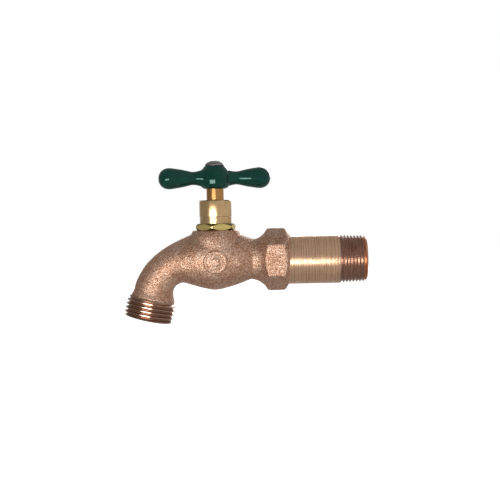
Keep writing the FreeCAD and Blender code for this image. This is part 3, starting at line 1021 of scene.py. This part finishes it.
@dataclass
class BonnetSet:
    """The bonnet and its packing nut."""

    flange_flats: float = 20.4
    flange_top: float = 20.96
    flange_turn: float = 20.8
    flange_slopes: float = 9.3    # the slopes are outside this radius
    bonnet: Outline = (
        (11.3, 6.35), (11.3, 7.8), (12.1, 8.6), (17.05, 8.6), (17.05, 9.95), (18.3, 11.3),
        (18.6, 11.48), (19.4, 11.48), (19.7, 11.3), (20.95, 9.95), (20.95, 8.75), (24.7, 8.75), (24.7, 7.3),
        (31.1, 7.3), (31.6, 6.8), (31.6, 6.1), (25.6, 6.1), (25.6, 4.83), (24.1, 4.83), (24.1, 6.5),
        (20.5, 6.5), (20.5, 6.35),
    )
    nut: Outline = (
        (24.75, 7.35), (24.75, 8.98), (24.87, 9.1), (33.3, 9.1), (33.9, 8.5), (33.9, 5.1),
        (31.9, 5.1), (31.9, 7.35),
    )
    nut_flats: float = 17.6

    def turned(self) -> tuple[Form, Form]:
        """Turns the bonnet and the nut, and mills their flats.

        Returns:
            The bonnet's shape and the nut's.
        """
        keen = broken_edges(width=0.12, sharper_than=28)
        flange = prism(self.flange_flats, bottom=10, top=33, turn=self.flange_turn)
        bonnet = revolved(self.bonnet, closed=True, steps=128).modified(cut("INTERSECT", flange), keen)
        nut = revolved(self.nut, closed=True, steps=128).modified(
            cut("INTERSECT", bar(self.nut_flats, width=30, bottom=20, top=40)), keen)
        return bonnet, nut

    def build(self, finishes: Finishes) -> list[bpy.types.Object]:
        """Makes both. The bonnet has a finish each for its flats, its neck and the flange's slopes, whose
        dark colour is painted shade.

        Args:
            finishes: The materials.

        Returns:
            The two finished pieces.
        """
        bonnet, nut = self.turned()
        for face in bonnet.bm.faces:
            middle = face.calc_center_median()
            sloping = middle.xy.length > self.flange_slopes and abs(face.normal.z) > 0.3
            face.material_index = int(middle.z > self.flange_top)
            # the slopes take the dark painted shade that outlines each flat
            if middle.z < self.flange_top and sloping:
                face.material_index = 2
        dress = [finishes.bonnet, finishes.nut, finishes.slope_painted_shade]
        return [
            settle(bonnet.finished("hex_bonnet", dress, smooth_angle=12.0),
                   Body.VALVE, "bonnet"),
            settle(nut.finished("round_packing_nut", [finishes.nut], smooth_angle=24.0),
                   Body.VALVE, "packing_nut"),
        ]


@dataclass
class TeeHandle:
    """The enamelled tee handle and the screw that holds it."""

    turn: float = 11.0            # of the arms from the inlet axis at rest
    height: float = 46.1
    voxel: float = 0.36
    hub: Outline = (
        (40.1, 0), (40.1, 5.6), (40.5, 6.6), (41.2, 7.5), (42.6, 8.1), (45.0, 8.35), (47.5, 8.3),
        (49.8, 7.8), (50.6, 7.4), (51.5, 6.7), (52.2, 6.1), (52.7, 5.75), (52.9, 5.4), (52.9, 0),
    )
    arm: Outline = (
        (0, 0), (0, 5.0), (5.5, 5.0), (7.0, 4.7), (9.2, 4.1), (10.9, 3.72), (12.6, 3.65), (14.3, 3.98),
        (16.0, 4.42), (17.7, 4.78), (19.4, 5.1), (21.1, 5.36), (22.8, 5.62), (24.5, 5.86), (26.2, 5.88),
        (27.9, 5.45), (29.4, 4.55), (30.4, 3.4), (31.1, 1.9), (31.35, 0),
    )
    screw: Outline = (
        (44.0, 0), (44.0, 2.0), (52.85, 2.0), (52.85, 5.15), (53.05, 5.35), (53.5, 5.3), (54.3, 4.75),
        (55.0, 3.7), (55.45, 2.4), (55.65, 1.1), (55.7, 0),
    )
    slot_width: float = 1.2
    slot_floor: float = 54.4
    slot_turn: float = 62.0       # from the inlet axis

    def handle(self, finishes: Finishes) -> bpy.types.Object:
        """Casts the hub and both arms as one blended shape.

        Args:
            finishes: The materials.

        Returns:
            The finished piece.
        """
        form = Form().add(revolved(self.hub))
        for turn in (self.turn + 180, self.turn):
            spin = Matrix.Rotation(math.radians(turn), 4, "Z")
            form.add(revolved(self.arm).move(Matrix.Translation((0, 0, self.height)) @ spin @ TO_X))
        thing = form.modified(*cast_skin(self.voxel, passes=6)).finished(
            "tee_handle", [finishes.enamel], smooth_angle=80.0)
        return settle(thing, Body.SPINDLE, "handle")

    def handle_screw(self, finishes: Finishes) -> bpy.types.Object:
        """Turns the domed screw and saws its slot.

        Args:
            finishes: The materials.

        Returns:
            The finished piece.
        """
        slot = bar(length=14.0, width=self.slot_width, bottom=self.slot_floor, top=57.0).move(
            Matrix.Rotation(math.radians(self.slot_turn), 4, "Z"))
        form = revolved(self.screw).modified(
            cut("DIFFERENCE", slot), broken_edges(width=0.12, sharper_than=35))
        thing = form.finished("domed_handle_screw", [finishes.screw], smooth_angle=30.0)
        return settle(thing, Body.SPINDLE, "handle_screw")

    def build(self, finishes: Finishes) -> list[bpy.types.Object]:
        """Makes both."""
        return [self.handle(finishes), self.handle_screw(finishes)]


@dataclass
class InnerParts:
    """The CAD nodes that keep their shape."""

    def build(self, finishes: Finishes) -> list[bpy.types.Object]:
        """Gives each kept node its material.

        Args:
            finishes: The materials.

        Returns:
            The kept nodes' objects.
        """
        wanted = {
            "stem": finishes.stem, "washer_holder": finishes.bonnet, "seat_washer_screw": finishes.nut,
            "packing_gland": finishes.nut, "seat_washer": finishes.rubber,
            "packing_ring": finishes.graphite, "bonnet_gasket": finishes.fibre,
        }
        kept = []
        for node, material in wanted.items():
            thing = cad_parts[node]
            thing.data.materials.clear()
            thing.data.materials.append(material)
            kept.append(thing)
            LOG.info("%s: kept from the frame", node)
        return kept


# ---------------------------------------------------------------- studio
def aimed(azimuth: float, elevation: float) -> Vector:
    """The unit vector away from the valve at degrees from the front, to the right, and above level."""
    a, e = math.radians(azimuth), math.radians(elevation)
    return Vector((math.sin(a) * math.cos(e), -math.cos(a) * math.cos(e), math.sin(e)))


@dataclass(frozen=True)
class SoftBox:
    """A soft light. Angles are in degrees, distance and size in metres, and power in watts."""

    name: str
    azimuth: float
    elevation: float
    distance: float
    size: tuple[float, float]
    power: float

    def hang(self, aim: Vector) -> None:
        """Hangs it.

        Args:
            aim: The point it hangs round and faces.
        """
        data = bpy.data.lights.new(self.name, "AREA")
        data.shape, (data.size, data.size_y), data.energy = "RECTANGLE", self.size, self.power
        lamp = bpy.data.objects.new(self.name, data)
        away = aimed(self.azimuth, self.elevation)
        lamp.location = aim + away * self.distance
        lamp.rotation_mode = "QUATERNION"
        lamp.rotation_quaternion = (-away).to_track_quat("-Z", "Y")
        lamp.visible_camera = False
        bpy.context.scene.collection.objects.link(lamp)


@dataclass(frozen=True)
class Glow:
    """A paler side of the room, which rises from nothing at start to gain at stop, both cosines."""

    direction: tuple[float, float, float]
    start: float
    stop: float
    gain: float


@dataclass
class Studio:
    """A white sweep, a dim grey room, soft lights and the camera."""

    aim: Vector = field(default_factory=lambda: Vector((-0.0643, 0.0, 0.0059)))
    distance: float = 0.55
    elevation: float = 2.0
    roll: float = -1.15
    lens: float = 71.3
    dimness: float = 0.34         # the room's level away from its glows
    glows: tuple[Glow, ...] = (
        Glow((0.94, -0.34, 0.0), 0.0, 0.9, 0.34),
        Glow((0.0, 1.0, 0.0), 0.4, 1.0, 0.25),
        Glow((0.0, 0.0, -1.0), 0.3, 1.0, 0.08),
        Glow((0.0, 0.0, 1.0), 0.2, 0.9, 0.1),
    )
    boxes: tuple[SoftBox, ...] = (
        SoftBox("key", -18.0, -8.6, 1.0, (0.74, 0.27), 7.2),
        SoftBox("back", 165.0, 15.0, 0.9, (0.4, 0.3), 2.0),
    )
    floor_height: float = -0.16
    floor_half: float = 3.0

    def room(self) -> None:
        """A dim room, lighter on the right and behind, that only shows in the metal."""
        world = bpy.data.worlds.new("grey_room")
        world.use_nodes = True
        tree = world.node_tree
        tree.nodes.clear()
        way = add(tree, "TexCoord").outputs["Generated"]
        level = self.dimness
        for glow in self.glows:
            facing = add(tree, "VectorMath", {0: way, 1: glow.direction}, operation="DOT_PRODUCT")
            lobe = add(tree, "MapRange", {"Value": facing.outputs["Value"], "From Min": glow.start,
                                          "From Max": glow.stop, "To Min": 0.0, "To Max": glow.gain},
                       interpolation_type="SMOOTHSTEP")
            level = add(tree, "Math", {0: lobe.outputs[0], 1: level}, operation="ADD").outputs[0]
        room = add(tree, "Background", {"Strength": level})
        white = add(tree, "Background", {"Color": (1, 1, 1, 1), "Strength": 1.0})
        seen = add(tree, "LightPath").outputs["Is Camera Ray"]
        both = add(tree, "MixShader", {0: seen, 1: room.outputs[0], 2: white.outputs[0]})
        add(tree, "OutputWorld", {"Surface": both.outputs[0]})
        bpy.context.scene.world = world

    def floor(self) -> None:
        """A white sheet under the valve that the metal doesn't see."""
        form = Form()
        bmesh.ops.create_grid(form.bm, x_segments=1, y_segments=1, size=self.floor_half)
        mesh = bpy.data.meshes.new("floor")
        form.bm.to_mesh(mesh)
        form.bm.free()
        mesh.transform(Matrix.Translation((0, 0, self.floor_height)))
        material = bpy.data.materials.new("white_sweep_paper")
        material.use_nodes = True
        material.node_tree.nodes.clear()
        Finish.close(material.node_tree, {"Base Color": linear("#F4F4F4"), "Roughness": 0.9,
                                          "Emission Color": linear("#FFFFFF"), "Emission Strength": 1.0})
        mesh.materials.append(material)
        sheet = bpy.data.objects.new("floor", mesh)
        bpy.context.scene.collection.objects.link(sheet)
        # only the camera sees it: so near, its glow would bleach the underside of the metal
        sheet.visible_glossy = sheet.visible_diffuse = sheet.visible_shadow = False

    def camera(self) -> None:
        """Looks nearly level from the front, a little turned about its own axis."""
        data = bpy.data.cameras.new("camera")
        data.lens, data.sensor_width = self.lens, 36.0
        thing = bpy.data.objects.new("camera", data)
        back = aimed(0.0, self.elevation)
        thing.location = self.aim + back * self.distance
        thing.rotation_mode = "QUATERNION"
        spin = Matrix.Rotation(math.radians(self.roll), 4, "Z").to_quaternion()
        thing.rotation_quaternion = (-back).to_track_quat("-Z", "Y") @ spin
        bpy.context.scene.collection.objects.link(thing)
        bpy.context.scene.camera = thing

    def build(self) -> None:
        """Sets everything up."""
        bpy.context.scene.view_settings.view_transform = "Standard"
        self.room()
        self.floor()
        for box in self.boxes:
            box.hang(self.aim)
        self.camera()


def main() -> None:
    """Builds the pieces in order, then the studio."""
    logging.basicConfig(level=logging.INFO, format="%(name)s %(message)s")
    finishes = Finishes()
    for assembly in (ValveCasting(), MachinedEnds(), BonnetSet(), TeeHandle(), InnerParts()):
        pieces = assembly.build(finishes)
        LOG.info("%s: %d pieces done", type(assembly).__name__, len(pieces))
    Studio().build()


if __name__ == "__main__":
    main()
